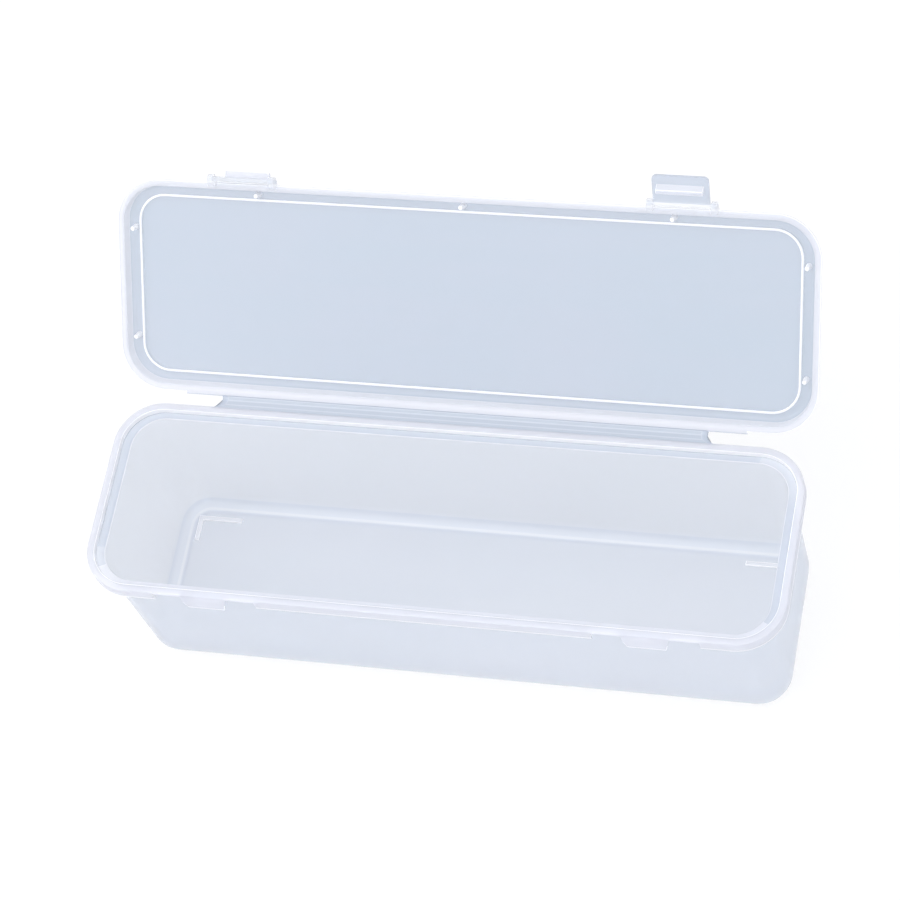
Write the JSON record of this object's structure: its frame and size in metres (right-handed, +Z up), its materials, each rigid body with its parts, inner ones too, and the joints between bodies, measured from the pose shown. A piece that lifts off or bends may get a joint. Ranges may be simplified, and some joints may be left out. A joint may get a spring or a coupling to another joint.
{
  "type": "lidded make-up brush box",
  "caption": "Long translucent plastic box for make-up brushes, with a hinged tray lid and clip-on front latches.",
  "frame": {"origin": "middle of the tub's flat underside, on the table", "axes": "+X along the box, +Y towards the hinge, +Z up"},
  "size_m": [0.2894, 0.1635, 0.1531],
  "materials": {
    "tub_plastic": "natural polypropylene, milky and see-through, satin moulded surface",
    "lid_plastic": "natural polypropylene, milky and see-through, satin moulded surface",
    "hinge_plastic": "thin natural polypropylene film, creased along its fold",
    "latch_plastic": "natural polypropylene, milky, smooth moulded surface"
  },
  "bodies": {
    "tub": {"tub": "tub_plastic", "hinge_strip_tub_side": "hinge_plastic"},
    "lid": {"lid": "lid_plastic", "hinge_strip_lid_side": "hinge_plastic"},
    "latch_left": {"latch_left": "latch_plastic"},
    "latch_right": {"latch_right": "latch_plastic"}
  },
  "joints": [
    {"name": "lid_hinge", "type": "hinge", "parent": "tub", "child": "lid", "pos_m": [0, 0.04618, 0.07738], "axis": [1, 0, 0], "range_deg": [-42.58, 137.42]},
    {"name": "latch_left_pivot", "type": "hinge", "parent": "lid", "child": "latch_left", "pos_m": [-0.0901, 0.11279, 0.14128], "axis": [1, 0, 0], "range_deg": [-1, 193]},
    {"name": "latch_right_pivot", "type": "hinge", "parent": "lid", "child": "latch_right", "pos_m": [0.0901, 0.11279, 0.14128], "axis": [1, 0, 0], "range_deg": [-124, 70]}
  ]
}
